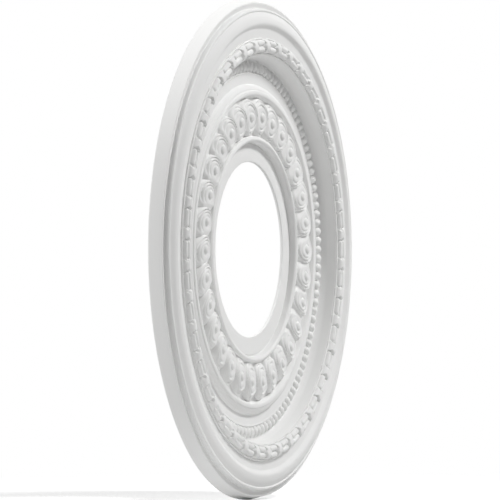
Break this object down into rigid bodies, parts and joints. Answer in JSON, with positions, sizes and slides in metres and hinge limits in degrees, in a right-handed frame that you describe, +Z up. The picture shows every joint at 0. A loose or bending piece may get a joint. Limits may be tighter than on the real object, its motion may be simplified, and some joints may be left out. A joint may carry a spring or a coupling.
{
  "type": "ceiling rose",
  "caption": "Round white moulded ceiling rose with a stepped rim, a ring of tied reeds, a row of beads, a ring of leaning scrolls and a plain hole in the middle.",
  "frame": {"origin": "centre of the middle hole in the plane of the flat back", "axes": "+Y out of the flat back, towards the ceiling or wall that it is fixed to; the ornament faces -Y; +Z up with the rose held upright; +X to the right seen from the front"},
  "size_m": [0.254, 0.0126, 0.254],
  "materials": {
    "white_moulding": "matt white primed rigid foam moulding"
  },
  "bodies": {
    "root": {"ceiling_rose": "white_moulding"}
  },
  "joints": []
}
